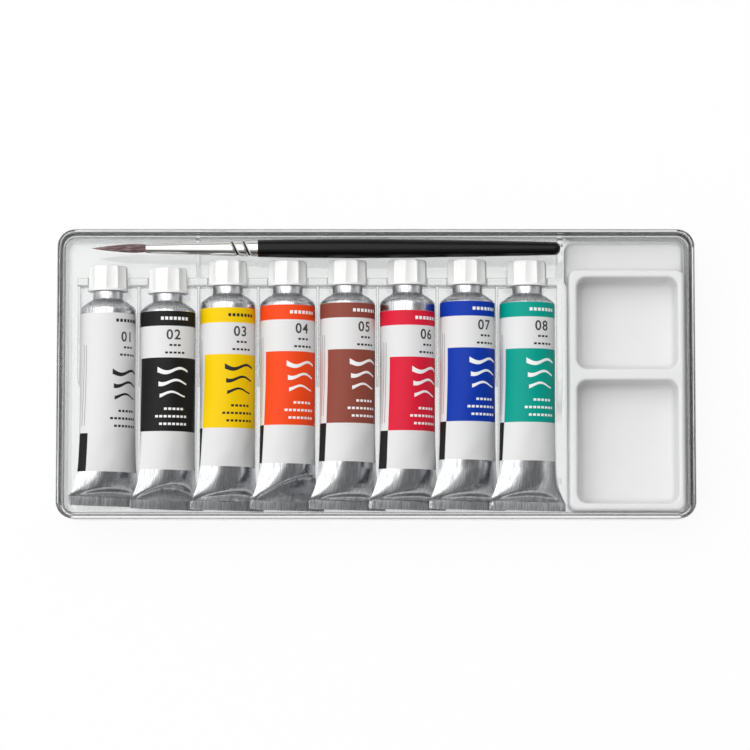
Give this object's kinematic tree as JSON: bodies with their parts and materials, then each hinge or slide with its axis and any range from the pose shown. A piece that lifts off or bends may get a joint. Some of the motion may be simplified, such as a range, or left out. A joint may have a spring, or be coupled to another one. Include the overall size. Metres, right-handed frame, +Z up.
{
  "type": "gouache paint set box",
  "caption": "Clear flat box of gouache tubes with fluted screw caps, a round brush and a two-well white palette, the open tray standing in its upturned lid.",
  "frame": {"origin": "middle of the lid's underside, where the box rests", "axes": "+X along the box towards the palette, +Y across the box towards the brush, +Z up"},
  "size_m": [0.22, 0.1, 0.0222],
  "materials": {
    "clear_plastic": "clear polystyrene, polished, light-weight moulding",
    "tray_plastic": "clear polystyrene with a faint milky tone",
    "white_plastic": "smooth white moulding, soft shine",
    "black_lacquer": "wood under gloss black lacquer",
    "plated_ferrule": "nickel-plated seamless brass",
    "hair": "red-brown natural hair",
    "cap_plastic": "white moulded plastic",
    "tube_white": "printed lacquer on a bare aluminium tube",
    "paint_white": "thick gouache paint",
    "tube_black": "printed lacquer on a bare aluminium tube",
    "paint_black": "thick gouache paint",
    "tube_yellow": "printed lacquer on a bare aluminium tube",
    "paint_yellow": "thick gouache paint",
    "tube_vermilion": "printed lacquer on a bare aluminium tube",
    "paint_vermilion": "thick gouache paint",
    "tube_brown": "printed lacquer on a bare aluminium tube",
    "paint_brown": "thick gouache paint",
    "tube_carmine": "printed lacquer on a bare aluminium tube",
    "paint_carmine": "thick gouache paint",
    "tube_blue": "printed lacquer on a bare aluminium tube",
    "paint_blue": "thick gouache paint",
    "tube_green": "printed lacquer on a bare aluminium tube",
    "paint_green": "thick gouache paint"
  },
  "bodies": {
    "lid": {"lid": "clear_plastic"},
    "tray": {"tray": "tray_plastic"},
    "palette": {"palette": "white_plastic"},
    "brush": {"brush_handle": "black_lacquer", "brush_ferrule": "plated_ferrule", "brush_hair": "hair"},
    "tube_1": {"tube_1_shell": "tube_white", "tube_1_paint": "paint_white"},
    "cap_1": {"tube_1_cap": "cap_plastic"},
    "tube_2": {"tube_2_shell": "tube_black", "tube_2_paint": "paint_black"},
    "cap_2": {"tube_2_cap": "cap_plastic"},
    "tube_3": {"tube_3_shell": "tube_yellow", "tube_3_paint": "paint_yellow"},
    "cap_3": {"tube_3_cap": "cap_plastic"},
    "tube_4": {"tube_4_shell": "tube_vermilion", "tube_4_paint": "paint_vermilion"},
    "cap_4": {"tube_4_cap": "cap_plastic"},
    "tube_5": {"tube_5_shell": "tube_brown", "tube_5_paint": "paint_brown"},
    "cap_5": {"tube_5_cap": "cap_plastic"},
    "tube_6": {"tube_6_shell": "tube_carmine", "tube_6_paint": "paint_carmine"},
    "cap_6": {"tube_6_cap": "cap_plastic"},
    "tube_7": {"tube_7_shell": "tube_blue", "tube_7_paint": "paint_blue"},
    "cap_7": {"tube_7_cap": "cap_plastic"},
    "tube_8": {"tube_8_shell": "tube_green", "tube_8_paint": "paint_green"},
    "cap_8": {"tube_8_cap": "cap_plastic"}
  },
  "joints": [
    {"name": "tray_lift", "type": "slide", "parent": "lid", "child": "tray", "axis": [0, 0, 1], "range_m": [0, 0.05]},
    {"name": "palette_lift", "type": "slide", "parent": "tray", "child": "palette", "axis": [0, 0, 1], "range_m": [0, 0.04]},
    {"name": "brush_lift", "type": "slide", "parent": "tray", "child": "brush", "axis": [0, 0, 1], "range_m": [0, 0.04]},
    {"name": "tube_1_lift", "type": "slide", "parent": "tray", "child": "tube_1", "axis": [0, 0, 1], "range_m": [0, 0.025]},
    {"name": "cap_1_turn", "type": "hinge", "parent": "tube_1", "child": "cap_1", "pos_m": [-0.09309, 0.03365, 0.0121], "axis": [0, 1, 0], "range_deg": [0, 540]},
    {"name": "tube_2_lift", "type": "slide", "parent": "tube_1", "child": "tube_2", "axis": [0, 0, 1], "range_m": [0, 0.025]},
    {"name": "cap_2_turn", "type": "hinge", "parent": "tube_2", "child": "cap_2", "pos_m": [-0.07229, 0.03285, 0.0121], "axis": [0, 1, 0], "range_deg": [0, 540]},
    {"name": "tube_3_lift", "type": "slide", "parent": "tube_2", "child": "tube_3", "axis": [0, 0, 1], "range_m": [0, 0.025]},
    {"name": "cap_3_turn", "type": "hinge", "parent": "tube_3", "child": "cap_3", "pos_m": [-0.05149, 0.03545, 0.0121], "axis": [0, 1, 0], "range_deg": [0, 540]},
    {"name": "tube_4_lift", "type": "slide", "parent": "tube_3", "child": "tube_4", "axis": [0, 0, 1], "range_m": [0, 0.025]},
    {"name": "cap_4_turn", "type": "hinge", "parent": "tube_4", "child": "cap_4", "pos_m": [-0.0307, 0.03545, 0.0121], "axis": [0, 1, 0], "range_deg": [0, 540]},
    {"name": "tube_5_lift", "type": "slide", "parent": "tube_4", "child": "tube_5", "axis": [0, 0, 1], "range_m": [0, 0.025]},
    {"name": "cap_5_turn", "type": "hinge", "parent": "tube_5", "child": "cap_5", "pos_m": [-0.00989, 0.03565, 0.0121], "axis": [0, 1, 0], "range_deg": [0, 540]},
    {"name": "tube_6_lift", "type": "slide", "parent": "tube_5", "child": "tube_6", "axis": [0, 0, 1], "range_m": [0, 0.025]},
    {"name": "cap_6_turn", "type": "hinge", "parent": "tube_6", "child": "cap_6", "pos_m": [0.0109, 0.03575, 0.0121], "axis": [0, 1, 0], "range_deg": [0, 540]},
    {"name": "tube_7_lift", "type": "slide", "parent": "tube_6", "child": "tube_7", "axis": [0, 0, 1], "range_m": [0, 0.025]},
    {"name": "cap_7_turn", "type": "hinge", "parent": "tube_7", "child": "cap_7", "pos_m": [0.0317, 0.03575, 0.0121], "axis": [0, 1, 0], "range_deg": [0, 540]},
    {"name": "tube_8_lift", "type": "slide", "parent": "tube_7", "child": "tube_8", "axis": [0, 0, 1], "range_m": [0, 0.025]},
    {"name": "cap_8_turn", "type": "hinge", "parent": "tube_8", "child": "cap_8", "pos_m": [0.05251, 0.03545, 0.0121], "axis": [0, 1, 0], "range_deg": [0, 540]}
  ]
}
